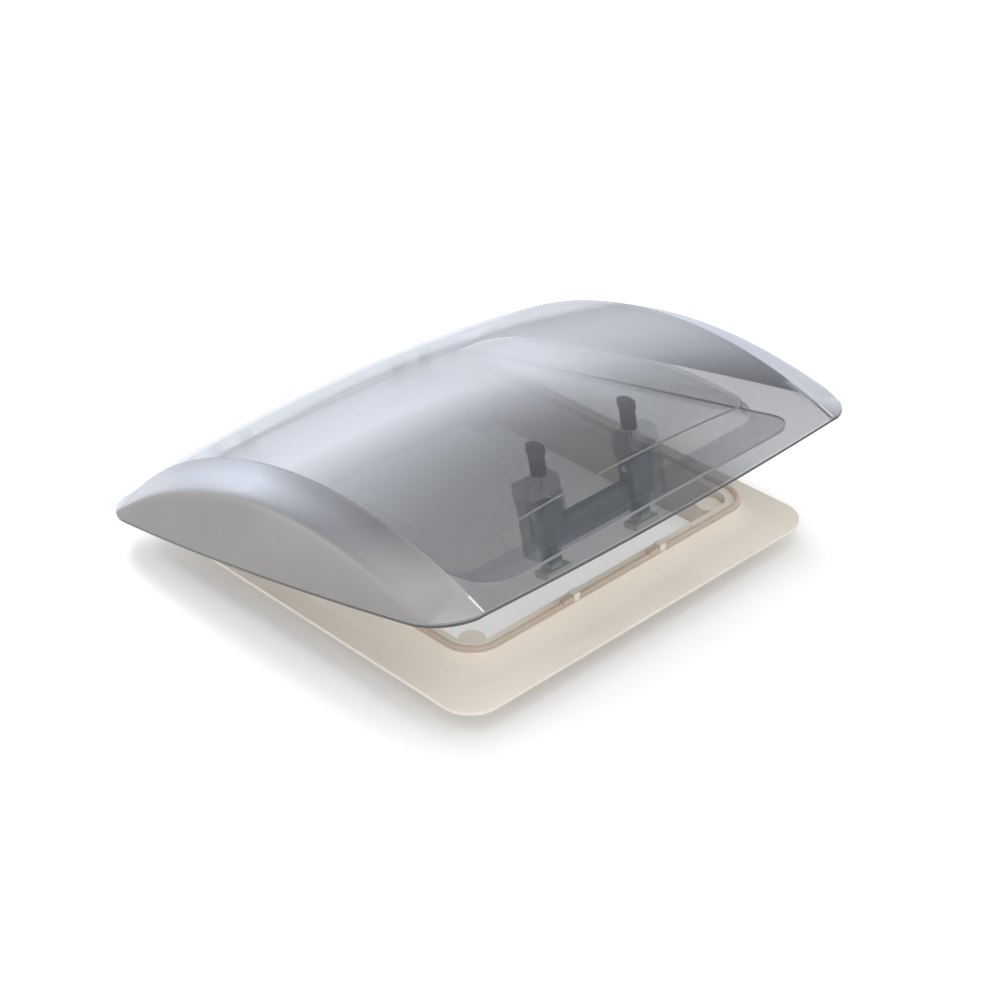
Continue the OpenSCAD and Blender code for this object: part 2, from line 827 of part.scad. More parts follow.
// Bracket under the inner pane, for the right lever: a block, two cheeks and a pillar open to the back
module bracket_right() {
    inner = -cheek_offset - cheek_thick;
    outer = cheek_offset;
    pillar_front = -bolt_setback - cheek_depth / 2;
    pillar_height = bracket_low + through - pillar_low;
    slopes = [pane_slope_u(latch_spread), pane_slope_v(-bolt_front)];
    translate([latch_spread, -bolt_front, 0])
        difference() {
            union() {
                translate([inner, -cheek_depth / 2, bracket_low])
                    cube([pillar_reach - inner, cheek_depth, pane_rise - bracket_low]);
                bracket_cheek(inner + cheek_thick / 2);
                bracket_cheek(outer + cheek_thick / 2);
                translate([outer, pillar_front, pillar_low])
                    cube([pillar_reach - outer, cheek_thick, pillar_height]);
                translate([pillar_reach - cheek_thick, pillar_front, pillar_low])
                    cube([cheek_thick, cheek_depth, pillar_height]);
            }
            translate([0, 0, latch_base - pane_wall - 3 * seat_gap])
                space_above(slopes[0], slopes[1], 4 * pane_rise);
            translate([0, 0, bracket_low + through])
                cylinder(d = screw_diameter + 2 * fit_gap, h = pane_rise);
            translate([0, -bolt_setback, pivot_height])
                rod(latch_pin_diameter + 2 * fit_gap, 2 * (outer + cheek_thick) + through);
        }
}

module latch_bracket_left() {
    color("gainsboro", 0.7)
        on_dome()
        mirror([1, 0, 0])
        bracket_right();
}

module latch_bracket_right() {
    color("gainsboro", 0.7)
        on_dome()
        bracket_right();
}

module latch_pins() {
    color("silver")
        on_dome()
        both_sides(latch_spread)
        translate([0, -latch_front, pivot_height])
        rod(latch_pin_diameter, 2 * (cheek_offset + cheek_thick));
}

// Lever seen from the side: a round head with a flat front, a sloping front and a foot that reaches forward
module lever_side() {
    low = -foot_top - foot_thick;
    intersection() {
        circle(lever_head);
        translate([-lever_top, -lever_head])
            square([lever_top + lever_back, 2 * lever_head]);
    }
    polygon([
        [-lever_top, 0], [-lever_top, -lever_flat], [-lever_front, low], [lever_back, low], [lever_back, 0]
    ]);
    translate([-foot_front, low])
        square([foot_front + lever_back, foot_thick]);
}

// Lever seen from the front: an upright oblong, a short neck and a wide foot
module lever_outline() {
    end = lever_width / 2;
    low = foot_top - neck_height - end;
    translate([0, lever_head - end])
        circle(end);
    translate([-end, -low])
        square([lever_width, low + lever_head - end]);
    translate([0, -low])
        circle(end);
    translate([-neck_width / 2, -foot_top - foot_thick])
        square([neck_width, foot_top]);
    translate([-foot_width / 2, -foot_top - foot_thick])
        square([foot_width, foot_thick]);
}

module latch_handle() {
    reach = latch_spread - lever_width / 2 + through;
    grip_top = lever_head + grip_drop;
    color("darkslategray")
        on_dome()
        translate([0, -latch_front, pivot_height])
        difference() {
            union() {
                both_sides(latch_spread)
                    intersection() {
                        translate([-foot_width / 2, 0, 0])
                            rotate([90, 0, 90])
                            linear_extrude(foot_width)
                            lever_side();
                        translate([0, 2 * lever_head, 0])
                            rotate([90, 0, 0])
                            linear_extrude(4 * lever_head)
                            lever_outline();
                    }
                translate([-reach, lever_back - grip_thick, -grip_top - grip_height])
                    cube([2 * reach, grip_thick, grip_height]);
            }
            rod(latch_pin_diameter + 2 * fit_gap, 4 * latch_spread);
        }
}

roof_frame();
collar_seal();
hinge_base_left();
hinge_base_right();
hinge_base_screws();
hinge_pin_left();
hinge_pin_right();
pin_rings();
friction_washers();
outer_dome();
inner_dome();
hinge_leaf_left();
hinge_leaf_right();
leaf_screws();
rear_spacers();
spacer_bushes();
latch_screws();
latch_bracket_left();
latch_bracket_right();
latch_pins();
latch_handle();
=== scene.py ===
"""Caravan roof vent: smooth dome and pane, moulded materials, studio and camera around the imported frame."""
import json
import math

import bpy
from mathutils import Matrix, Vector


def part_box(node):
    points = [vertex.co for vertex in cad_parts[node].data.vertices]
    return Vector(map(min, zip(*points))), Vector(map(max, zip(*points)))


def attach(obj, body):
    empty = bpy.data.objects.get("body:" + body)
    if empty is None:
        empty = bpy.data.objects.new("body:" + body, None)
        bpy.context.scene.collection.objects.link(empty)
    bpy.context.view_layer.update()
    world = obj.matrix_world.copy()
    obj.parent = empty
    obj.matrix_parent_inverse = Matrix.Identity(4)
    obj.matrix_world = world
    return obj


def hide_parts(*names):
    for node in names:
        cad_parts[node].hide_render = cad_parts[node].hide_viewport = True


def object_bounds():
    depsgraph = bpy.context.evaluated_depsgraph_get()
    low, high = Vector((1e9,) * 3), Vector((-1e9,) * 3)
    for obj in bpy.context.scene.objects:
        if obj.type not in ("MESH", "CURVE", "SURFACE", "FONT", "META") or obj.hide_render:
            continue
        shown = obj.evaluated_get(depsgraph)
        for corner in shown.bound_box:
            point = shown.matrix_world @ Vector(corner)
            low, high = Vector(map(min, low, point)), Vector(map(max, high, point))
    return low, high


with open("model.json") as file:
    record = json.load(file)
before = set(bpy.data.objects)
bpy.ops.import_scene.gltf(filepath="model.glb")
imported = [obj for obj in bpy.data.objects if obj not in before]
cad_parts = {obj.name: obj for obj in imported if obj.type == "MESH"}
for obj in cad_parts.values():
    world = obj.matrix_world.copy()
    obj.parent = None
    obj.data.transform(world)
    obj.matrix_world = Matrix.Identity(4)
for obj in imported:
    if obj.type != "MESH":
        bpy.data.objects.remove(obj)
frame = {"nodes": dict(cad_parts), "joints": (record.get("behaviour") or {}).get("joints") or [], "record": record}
cad_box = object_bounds()
NODES = frame["nodes"]
JOINTS = {joint["name"]: joint for joint in frame["joints"]}
MM = 0.001

# Sizes of the dome, in millimetres, in its own frame: middle of the rim, u right, v back, w up
DOME_HALF_WIDTH = 217.5
DOME_HALF_LENGTH = 202.5
DOME_LEAD = 4.5  # dome centre ahead of the frame centre when shut
DOME_RISE = 78.0
DOME_WALL = 2.6
CREASE_RISE = 64.0
CREASE_HALF = 177.0
CREASE_STEP = 1.2
CREASE_WIDTH = 1.5
CREASE_END_POWER = 8  # the higher, the nearer to its ends the step of the crease runs out
RIM_BOW = 8.7
RIM_CORNER = 35.0
RIM_LEVEL = 18.0  # rim above the roof when shut
CORNER_CUT = 0.985  # how far the corners of the rim turn in, 1 for a full quarter turn
FRONT_LIP = 3.4
BACK_LIP = 8.0
BACK_LIP_POWER = 4  # the higher, the nearer to the back edge the lip grows
CORNER_LIP = 3.4
CORNER_LIP_POWER = 8  # the higher, the nearer to the back corners the lip shrinks again
SHOULDER_DROP = 12.0
SHOULDER_WEIGHT = 8.0  # pull of the shoulder on the curve of the side
SIDE_LEAN = math.tan(math.radians(11.5))
EDGE_LINE = 2.0  # height of the painted shade line along the foot of the rim
DOME_SHARP = 25.0  # degrees between faces, from which their edge stays crisp

# Sizes of the pane in the same frame: a flat flange, and a tray that rises from it
PANE_HALF_WIDTH = 156.0
PANE_FRONT = 183.0
PANE_BACK = 186.0
PANE_CORNER = 25.0
PANE_BORDER = 2.0
PANE_SEAT = 4.3
PANE_WALL = 2.2
PANE_RISE = 47.0
PANE_CROWN = 6.0
PANE_CROWN_HALF = 141.0
PANE_ARCH = 505.0
PANE_SHARP = 50.0
TRAY_HALF_WIDTH = 152.0
TRAY_FRONT = 150.0
TRAY_BACK = 145.5
TRAY_CORNER = 16.0
TRAY_STEP = 11.0
TRAY_TOP_WALL = 6.0
CORNER_TAPER = 0.3  # loss of corner radius per distance inward
CORNER_SHARE = 0.1  # least corner radius, as a share of the half width
CORNER_LEAST = 1.0

# Hinge axis and opening angle, as the frame has them
HINGE = Vector(JOINTS["dome_hinge"]["pos_m"])
OPEN_ANGLE = math.radians(-JOINTS["dome_hinge"]["range_deg"][0])
DOME_REACH = HINGE.y / MM + DOME_LEAD


def dome_matrix():
    """From the frame of the dome, in millimetres, to the frame of the part at rest, in metres."""
    turn = Matrix.Rotation(-OPEN_ANGLE, 4, "X")
    shift = Matrix.Translation((0, -DOME_REACH, RIM_LEVEL - HINGE.z / MM))
    return Matrix.Translation(HINGE) @ turn @ Matrix.Scale(MM, 4) @ shift


def band(first, second):
    """Quads between two closed loops of point indices."""
    count = len(first)
    return [(first[k], first[(k + 1) % count], second[(k + 1) % count], second[k]) for k in range(count)]


def new_piece(name, points, faces, kinds, looks, sharp):
    """Mesh piece in the frame of the part: smooth shaded, with edges over the sharp angle left crisp."""
    mesh = bpy.data.meshes.new(name)
    mesh.from_pydata([tuple(p) for p in points], [], faces)
    for look in looks:
        mesh.materials.append(look)
    mesh.polygons.foreach_set("material_index", kinds)
    mesh.polygons.foreach_set("use_smooth", [True] * len(mesh.polygons))
    mesh.update()
    mesh.set_sharp_from_angle(angle=math.radians(sharp))
    piece = bpy.data.objects.new(name, mesh)
    bpy.context.scene.collection.objects.link(piece)
    return piece


# Surface of the dome: s runs across it, t from the front (-1) to the back (1)

def arc_height(rise, half, x):
    """Height of an arc above its chord at x from the middle, with half of the chord given."""
    radius = (half * half + rise * rise) / (2 * rise)
    return math.sqrt(radius * radius - x * x) - radius + rise


def rim_half_length(u, inset):
    return DOME_HALF_LENGTH - inset - RIM_BOW * (u / DOME_HALF_WIDTH) ** 2


def rim_half_width(v, inset):
    return DOME_HALF_WIDTH - inset - RIM_BOW * (v / DOME_HALF_LENGTH) ** 2


def lip_height(s, t, inset):
    """Height of the rim lip: it grows towards the middle of the back edge."""
    back_lip = BACK_LIP - (BACK_LIP - CORNER_LIP) * s ** CORNER_LIP_POWER
    growth = (back_lip - FRONT_LIP) * t ** BACK_LIP_POWER if t > 0 else 0
    return FRONT_LIP - inset / 2 + growth


def panel_point(s, t, inset):
    """Point of the see-through panel, with s from the left crease (-1) to the right one (1)."""
    u = CREASE_HALF * s
    half = rim_half_length(u, inset)
    rise = DOME_RISE - (DOME_RISE - CREASE_RISE) * s * s - FRONT_LIP - inset / 2
    return Vector((u, half * t, lip_height(s, t, inset) + arc_height(rise, half, half * t)))


def corner_share(t):
    """Share of the side's reach that is left where the corners of the rim are rounded."""
    half = rim_half_length(CREASE_HALF, 0)
    past = max(0, abs(t) * half - half + RIM_CORNER) / RIM_CORNER
    return math.sqrt(1 - (CORNER_CUT * past) ** 2)


def side_point(s, t, inset):
    """Point of the right side, with s from the crease (0) over the shoulder to the rim (1)."""
    crease = panel_point(1, t, inset)
    low = lip_height(1, t, inset)
    reach = CREASE_HALF + (rim_half_width(crease.y, inset) - CREASE_HALF) * corner_share(t)
    start = Vector((CREASE_HALF + CREASE_WIDTH, crease.z - CREASE_STEP * (1 - t ** CREASE_END_POWER)))
    edge = Vector((reach, low))
    fall = start.y - low
    wall = fall - SHOULDER_DROP
    if wall > 0:
        shoulder = Vector((reach - SIDE_LEAN * wall, low + wall))
    else:
        # Too low for a wall: the shoulder slides from the edge to the middle as the side flattens
        shoulder = start + (1 + fall / SHOULDER_DROP) / 2 * (edge - start)
    a, b, c = (1 - s) ** 2, 2 * SHOULDER_WEIGHT * s * (1 - s), s * s
    place = (a * start + b * shoulder + c * edge) / (a + b + c)
    return Vector((place.x, crease.y, place.y))


# Grid of the dome, and its materials in the order of the piece's slots
DOME_ROWS = 96
SIDE_COLUMNS = 24
PANEL_COLUMNS = 48
LEFT_CREASE = SIDE_COLUMNS
RIGHT_CREASE = SIDE_COLUMNS + PANEL_COLUMNS + 1
DOME_COLUMNS = RIGHT_CREASE + 1 + SIDE_COLUMNS
# Rows from the front whose crease cells carry a painted highlight
CREASE_HIGHLIGHT_ROWS = 11
PANEL, SIDE, FOOT, CREASE_HIGHLIGHT = range(4)


def dome_point(i, j, inset):
    """Grid point in row i from the front and column j from the left."""
    t = -math.cos(math.pi * i / DOME_ROWS)
    if j <= LEFT_CREASE:
        place = side_point((LEFT_CREASE - j) / SIDE_COLUMNS, t, inset)
        return Vector((-place.x, place.y, place.z))
    if j > RIGHT_CREASE:
        return side_point((j - RIGHT_CREASE - 1) / SIDE_COLUMNS, t, inset)
    return panel_point(2 * (j - LEFT_CREASE - 1) / PANEL_COLUMNS - 1, t, inset)


def grid_edge(rows, columns):
    """Index of every grid point along the edge, in order round the grid."""
    front = list(range(columns + 1))
    right = [i * (columns + 1) + columns for i in range(1, rows + 1)]
    back = [rows * (columns + 1) + j for j in range(columns - 1, -1, -1)]
    left = [i * (columns + 1) for i in range(rows - 1, 0, -1)]
    return front + right + back + left


def cell_kind(i, j):
    """Material of a grid cell: clear panel, frosted side, or the painted highlight on the front end of a crease.
    """
    if LEFT_CREASE < j < RIGHT_CREASE:
        return PANEL
    on_crease = j in (LEFT_CREASE, RIGHT_CREASE)
    return CREASE_HIGHLIGHT if on_crease and i < CREASE_HIGHLIGHT_ROWS else SIDE


def lip_kind(k):
    """Material of the rim lip at step k round the edge: clear along the panel, frosted beside it."""
    across = k if k < DOME_COLUMNS else 2 * DOME_COLUMNS + DOME_ROWS - 1 - k
    return PANEL if LEFT_CREASE < across < RIGHT_CREASE else SIDE


def build_dome(looks):
    """Dome shell: an outer and an inner face, joined round the rim by a lip whose foot carries a painted shade
    line.
    """
    stride = DOME_COLUMNS + 1
    count = (DOME_ROWS + 1) * stride
    outer = [dome_point(i, j, 0) for i in range(DOME_ROWS + 1) for j in range(stride)]
    inner = [dome_point(i, j, DOME_WALL) for i in range(DOME_ROWS + 1) for j in range(stride)]
    loop = grid_edge(DOME_ROWS, DOME_COLUMNS)
    outer_line = [Vector((outer[k].x, outer[k].y, EDGE_LINE)) for k in loop]
    outer_foot = [Vector((outer[k].x, outer[k].y, 0)) for k in loop]
    inner_foot = [Vector((inner[k].x, inner[k].y, 0)) for k in loop]
    line_loop = [2 * count + k for k in range(len(loop))]
    outer_loop = [k + len(loop) for k in line_loop]
    inner_loop = [k + len(loop) for k in outer_loop]
    faces = []
    kinds = []
    for i in range(DOME_ROWS):
        for j in range(DOME_COLUMNS):
            a = i * stride + j
            cell = (a, a + 1, a + stride + 1, a + stride)
            faces += [cell, tuple(count + k for k in reversed(cell))]
            kinds += [cell_kind(i, j)] * 2
    lip = band(loop, line_loop) + band(inner_loop, [count + k for k in loop])
    foot = band(line_loop, outer_loop) + band(outer_loop, inner_loop)
    faces += [tuple(reversed(face)) for face in lip + foot]
    # The foot faces carry a painted shade line
    kinds += [lip_kind(k) for k in range(len(loop))] * 2 + [FOOT] * len(foot)
    place = dome_matrix()
    points = [place @ p for p in outer + inner + outer_line + outer_foot + inner_foot]
    dome = new_piece("dome_shell", points, faces, kinds, looks, DOME_SHARP)
    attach(dome, "dome")
    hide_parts("outer_dome")


# Inner pane: steps round each ring, and its materials in the order of the piece's slots
RING_CORNER_STEPS = 12
RING_SIDE_STEPS = 24
RING_STEPS = RING_CORNER_STEPS + RING_SIDE_STEPS
RING_POINTS = 4 * RING_STEPS
CLEAR, LINE = range(2)

# Rings of the tray from its base inward: distance in from the base, kind of level and drop below it
TOP_START = 8.0
TOP_STEP = 7.2
TOP_RINGS = 18
TRAY_RINGS = [
    (0, "base", 0), (0.5, "base", -1.0), (1.0, "low", 0), (1.5, "low", -0.4), (2.2, "low", -1.1),
    (2.6, "low", -1.5), (4.2, "top", 2.6), (4.6, "top", 1.5), (5.6, "top", 0.6),
] + [(TOP_START + TOP_STEP * step, "top", 0) for step in range(TOP_RINGS)]

# Painted highlight line along the fold of the tray: its ring, counted from the outer edge, and where it ends
FOLD_RING = 9
FOLD_LINE_END = -30.0


def pane_height(u, v):
    """Height of the arched top of the tray."""
    run = v - DOME_LEAD
    crown = PANE_CROWN * (u / PANE_CROWN_HALF) ** 2
    return PANE_RISE - crown - PANE_ARCH + math.sqrt(PANE_ARCH ** 2 - run * run)


def ring_point(half_width, front, back, corner, k):
    """Point k round a rectangle with round corners, anticlockwise from its back right corner."""
    side, step = divmod(k, RING_STEPS)
    corners = [(half_width, back), (-half_width, back), (-half_width, -front), (half_width, -front)]
    signs = [(1, 1), (-1, 1), (-1, -1), (1, -1)]
    turn = math.radians(90 * side + 90 * min(step, RING_CORNER_STEPS) / RING_CORNER_STEPS)
    share = max(step - RING_CORNER_STEPS, 0) / RING_SIDE_STEPS
    after = (side + 1) % 4
    arc = Vector((math.cos(turn), math.sin(turn)))
    here = Vector(corners[side]) - corner * Vector(signs[side]) + corner * arc
    there = Vector(corners[after]) - corner * Vector(signs[after]) + corner * arc
    return here + share * (there - here)


def flange_point(inset, k, face):
    """Point k of a flange ring, on the upper (0) or lower (1) face of the sheet."""
    front, back = PANE_FRONT - inset, PANE_BACK - inset
    place = ring_point(PANE_HALF_WIDTH - inset, front, back, PANE_CORNER - inset, k)
    return Vector((place.x, place.y, PANE_SEAT + (1 - face) * PANE_WALL))


def tray_point(ring, k, face):
    """Point k of a tray ring, on the upper (0) or lower (1) face of the sheet."""
    inward, kind, drop = ring
    depth = inward + face * PANE_WALL
    half = TRAY_HALF_WIDTH - depth
    radius = TRAY_CORNER - face * PANE_WALL - CORNER_TAPER * inward
    corner = max(radius, half * CORNER_SHARE, CORNER_LEAST)
    place = ring_point(half, TRAY_FRONT - depth, TRAY_BACK - depth, corner, k)
    top = pane_height(*place)
    low = min(PANE_SEAT + TRAY_STEP, top - TRAY_TOP_WALL)
    level = {"base": PANE_SEAT + PANE_WALL, "low": low, "top": top}[kind] - drop
    return Vector((place.x, place.y, level - face * PANE_WALL))


def pane_face(face):
    """Points of the upper (0) or lower (1) face, ring by ring from the edge inward."""
    flange = [flange_point(inset, k, face) for inset in (0, PANE_BORDER) for k in range(RING_POINTS)]
    tray = [tray_point(ring, k, face) for ring in TRAY_RINGS for k in range(RING_POINTS)]
    return flange + tray


def build_pane(looks):
    """Pane: an upper and a lower face, closed in the middle and joined round the edge."""
    upper = pane_face(0)
    lower = pane_face(1)
    levels = len(upper) // RING_POINTS
    rings = [[i * RING_POINTS + k for k in range(RING_POINTS)] for i in range(2 * levels)]
    faces = []
    kinds = []
    for i in range(levels - 1):
        faces += band(rings[i], rings[i + 1])
        # The fold ring at the front carries a painted highlight line
        kinds += [LINE if i == FOLD_RING and upper[k].y < FOLD_LINE_END else CLEAR for k in rings[i]]
        faces += band(rings[levels + i + 1], rings[levels + i])
        kinds += [CLEAR] * RING_POINTS
    faces += band(rings[levels], rings[0])
    # Painted highlight line round the edge of the sheet
    kinds += [LINE] * RING_POINTS
    last = rings[levels - 1]
    under = rings[2 * levels - 1]
    upper_middle = len(upper) + len(lower)
    for k in range(RING_POINTS):
        after = (k + 1) % RING_POINTS
        faces.append((last[k], last[after], upper_middle))
        faces.append((under[after], under[k], upper_middle + 1))
        kinds += [CLEAR, CLEAR]
    top = pane_height(0, DOME_LEAD)
    middles = [Vector((0, DOME_LEAD, top)), Vector((0, DOME_LEAD, top - PANE_WALL))]
    place = dome_matrix()
    points = [place @ p for p in upper + lower + middles]
    pane = new_piece("pane_tray", points, faces, kinds, looks, PANE_SHARP)
    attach(pane, "dome")
    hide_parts("inner_dome")


# Materials: noise patterns as scale and detail, then the values that several looks share
CLOUDS = (9.0, 5)
GLOSS_PATCHES = (27.0, 3)
SHEET_GLOSS = (14.0, 3)
SHEET_WAVES = (11.0, 2)
SHEET_HAZE = (6.0, 3)
FROST_CLOUDS = (10.0, 4)
FROST_GRAIN = (1400.0, 2)
FROST_SPECKS = (900.0, 2)
GRAIN_DETAIL = 3
NOISE_ROUGHNESS = 0.55
TONE_RANGE = (0.35, 0.65)  # noise values where the darker tone ends and the lighter one starts
GLOSS_WANDER = 0.06
GRAIN_STRENGTH = 0.12
SOFT_EDGE = 0.0006
BEVEL_SAMPLES = 4
SLANT_BLEND = 0.5
SLANT_POWER = 3
SHEET_GLOSS_SPAN = (0.8, 1.2)
SHEET_HAZE_SPAN = (0.7, 1.3)
SHEET_WAVE_BUMP = (0.05, 0.0006)  # strength and distance
ACRYLIC_IOR = 1.5

# Frosted sides: upward tilt and height in millimetres where the wall's look ends and the top's is reached. The
# wall and the part near the rim carry painted light as a lighter tone, the top carries painted shade as a darker
# tone
WALL_TILT = 0.55
TOP_TILT = 0.88
RIM_LIGHT_LEVEL = 18.0
TOP_SHADE_LEVEL = 45.0
# Lighter tone of painted light for the wall and the rim, darker tone of painted shade for the top
FROST_LIT_WALL = ((0.365, 0.356, 0.354), (0.415, 0.405, 0.402))
FROST_SHADED_TOP = ((0.13, 0.129, 0.136), (0.16, 0.158, 0.166))
FROST_BUMP = (0.5, 0.0002)  # strength and distance
FROST_TINT = (0.62, 0.64, 0.67)
SPECK_CLEARNESS = (0.02, 0.14)
TOP_CLEARNESS = 0.2
GLOW_COLOUR = (0.5, 0.5, 0.51)
GLOW_SHARE = 0.22
SHEEN_COLOUR = (0.82, 0.88, 1.0)
SHEEN_ROUGHNESS = 0.3
SATIN_GAIN = 5.8
SATIN_MOST = 0.6

# Feet of the latch: height above its lowest point where their paler tone ends and the levers' starts
FOOT_LEVEL = 7.0
NECK_LEVEL = 13.0
FOOT_COLOUR = (0.66, 0.68, 0.61)


def rgba(colour):
    return (*colour, 1)


class NodeTree:
    """Node tree of a material or the world, with short calls that add a node and return its output."""

    def __init__(self, owner):
        self.owner = owner
        owner.use_nodes = True
        self.tree = owner.node_tree
        self.tree.nodes.clear()

    def feed(self, socket, value):
        """Link another node's output to the socket, or set a constant on it."""
        if isinstance(value, bpy.types.NodeSocket):
            self.tree.links.new(value, socket)
        else:
            socket.default_value = value

    def add(self, kind, output, inputs=None, **settings):
        """New node with its settings, and its inputs by name or place."""
        made = self.tree.nodes.new(kind)
        for key, value in settings.items():
            setattr(made, key, value)
        for key, value in (inputs or {}).items():
            self.feed(made.inputs[key], value)
        return made.outputs[output]

    def place(self, kind):
        return self.add("ShaderNodeTexCoord", kind)

    def ray(self, kind):
        return self.add("ShaderNodeLightPath", kind)

    def math(self, operation, *values):
        return self.add("ShaderNodeMath", "Value", dict(enumerate(values)), operation=operation)

    def dot(self, vector, direction):
        return self.add("ShaderNodeVectorMath", "Value", {0: vector, 1: direction}, operation="DOT_PRODUCT")

    def length(self, vector):
        return self.add("ShaderNodeVectorMath", "Value", {0: vector}, operation="LENGTH")

    def height(self, vector):
        return self.add("ShaderNodeSeparateXYZ", "Z", {"Vector": vector})

    def noise(self, scale, detail):
        where = self.place("Object")
        values = {"Vector": where, "Scale": scale, "Detail": detail, "Roughness": NOISE_ROUGHNESS}
        return self.add("ShaderNodeTexNoise", "Fac", values)

    def ramp(self, value, low, high):
        """Colour from the low tone to the high one, along the tone range."""
        made = self.tree.nodes.new("ShaderNodeValToRGB")
        for element, position, colour in zip(made.color_ramp.elements, TONE_RANGE, (low, high)):
            element.position = position
            element.color = rgba(colour)
        self.feed(made.inputs["Fac"], value)
        return made.outputs["Color"]

    def spread(self, value, low, high):
        """Number from low to high, for a value from 0 to 1."""
        values = {"Value": value, "To Min": low, "To Max": high}
        return self.add("ShaderNodeMapRange", "Result", values)

    def climb(self, value, start, stop):
        """Number from 0 to 1, for a value from start to stop."""
        values = {"Value": value, "From Min": start, "From Max": stop}
        return self.add("ShaderNodeMapRange", "Result", values)

    def bump(self, height, strength, distance):
        values = {"Height": height, "Strength": strength, "Distance": distance}
        return self.add("ShaderNodeBump", "Normal", values)

    def blend(self, share, first, second):
        """Mix of two colours, by the share of the second."""
        values = {"Factor": share, "A": first, "B": second}
        return self.add("ShaderNodeMix", "Result", values, data_type="RGBA")

    def mix(self, share, first, second):
        """Mix of two shaders, by the share of the second."""
        return self.add("ShaderNodeMixShader", "Shader", {0: share, 1: first, 2: second})

    def close(self, shader, kind="ShaderNodeOutputMaterial"):
        """Join the shader to the output of the tree, and return what the tree belongs to."""
        self.feed(self.tree.nodes.new(kind).inputs["Surface"], shader)
        return self.owner


def new_material(name):
    return NodeTree(bpy.data.materials.new(name))


def pale_feet(tree, colour):
    """Paler olive plastic on the feet of the latch, with a soft change above them."""
    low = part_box("latch_handle")[0][2]
    above = tree.climb(tree.height(tree.place("Object")), low + FOOT_LEVEL * MM, low + NECK_LEVEL * MM)
    return tree.blend(above, rgba(FOOT_COLOUR), colour)


def moulded(name, dark, light, roughness, grain, depth, metallic=0.0, edge=SOFT_EDGE, tone=None):
    """Moulded plastic, rubber or plated metal: cloudy tone, uneven gloss, a fine grain and soft edges."""
    tree = new_material(name)
    colour = tree.ramp(tree.noise(*CLOUDS), dark, light)
    gloss = tree.spread(tree.noise(*GLOSS_PATCHES), roughness - GLOSS_WANDER, roughness + GLOSS_WANDER)
    normal = tree.bump(tree.noise(grain, GRAIN_DETAIL), GRAIN_STRENGTH, depth)
    soft = tree.add("ShaderNodeBevel", "Normal", {"Radius": edge}, samples=BEVEL_SAMPLES)
    tree.feed(normal.node.inputs["Normal"], soft)
    return tree.close(tree.add("ShaderNodeBsdfPrincipled", "BSDF", {
        "Base Color": tone(tree, colour) if tone else colour,
        "Metallic": metallic,
        "Roughness": gloss,
        "Normal": normal,
    }))


def fresnel(tree, ior):
    """Share of mirrored light by angle, the same from either side of the sheet."""
    behind = tree.add("ShaderNodeNewGeometry", "Backfacing")
    return tree.add("ShaderNodeFresnel", "Fac", {"IOR": tree.spread(behind, ior, 1 / ior)})


def steep_shine(tree, least, gain, most):
    """Share of mirrored light that climbs with a power of the slant, up to a limit."""
    slant = tree.add("ShaderNodeLayerWeight", "Facing", {"Blend": SLANT_BLEND})
    climb = tree.math("MULTIPLY_ADD", tree.math("POWER", slant, SLANT_POWER), gain, least)
    return tree.math("MINIMUM", climb, most)


def see_through(name, tint, mirror, roughness, haze, haze_colour, shine):
    """Thin clear sheet: a tinted view through it, mirrored light by angle and a faint milky haze."""
    tree = new_material(name)
    clear = tree.add("ShaderNodeBsdfTransparent", "BSDF", {"Color": rgba(tint)})
    gloss = tree.add("ShaderNodeBsdfGlossy", "BSDF", {
        "Color": rgba(mirror),
        "Roughness": tree.spread(tree.noise(*SHEET_GLOSS), *(roughness * k for k in SHEET_GLOSS_SPAN)),
        "Normal": tree.bump(tree.noise(*SHEET_WAVES), *SHEET_WAVE_BUMP),
    })
    milk = tree.add("ShaderNodeBsdfDiffuse", "BSDF", {"Color": rgba(haze_colour)})
    milky = tree.spread(tree.noise(*SHEET_HAZE), *(haze * k for k in SHEET_HAZE_SPAN))
    return tree.close(tree.mix(milky, tree.mix(shine(tree), clear, gloss), milk))


def frosted_sheet(name):
    """Sand-textured side of the dome: matt, with a lighter tone of painted light, down the wall and near the rim;
    clearer and satin along the top, with a darker tone of painted shade.
    """
    tree = new_material(name)
    upward = tree.climb(tree.height(tree.place("Normal")), WALL_TILT, TOP_TILT)
    *level_axis, level_start = dome_matrix().inverted()[2]
    level = tree.dot(tree.place("Object"), level_axis)
    high = tree.climb(level, RIM_LIGHT_LEVEL - level_start, TOP_SHADE_LEVEL - level_start)
    cloudy = tree.noise(*FROST_CLOUDS)
    # Painted shade darkens the top away from the rim; painted light keeps the wall and the part near the rim
    # lighter
    painted_top_shade = tree.math("MULTIPLY", upward, high)
    tone = tree.blend(painted_top_shade, tree.ramp(cloudy, *FROST_LIT_WALL), tree.ramp(cloudy, *FROST_SHADED_TOP))
    grain = tree.bump(tree.noise(*FROST_GRAIN), *FROST_BUMP)
    skin = tree.add("ShaderNodeBsdfDiffuse", "BSDF", {"Color": tone, "Normal": grain})
    through = tree.add("ShaderNodeBsdfTranslucent", "BSDF", {"Color": rgba(GLOW_COLOUR)})
    clear = tree.add("ShaderNodeBsdfTransparent", "BSDF", {"Color": rgba(FROST_TINT)})
    sheen = tree.add("ShaderNodeBsdfGlossy", "BSDF", {
        "Color": rgba(SHEEN_COLOUR),
        "Roughness": SHEEN_ROUGHNESS,
        "Normal": grain,
    })
    specks = tree.spread(tree.noise(*FROST_SPECKS), *SPECK_CLEARNESS)
    clearness = tree.math("MULTIPLY_ADD", upward, TOP_CLEARNESS, specks)
    shine = steep_shine(tree, least=0.0, gain=SATIN_GAIN, most=SATIN_MOST)
    satin = tree.math("MULTIPLY", upward, shine)
    sheet = tree.mix(clearness, tree.mix(GLOW_SHARE, skin, through), clear)
    return tree.close(tree.mix(satin, sheet, sheen))


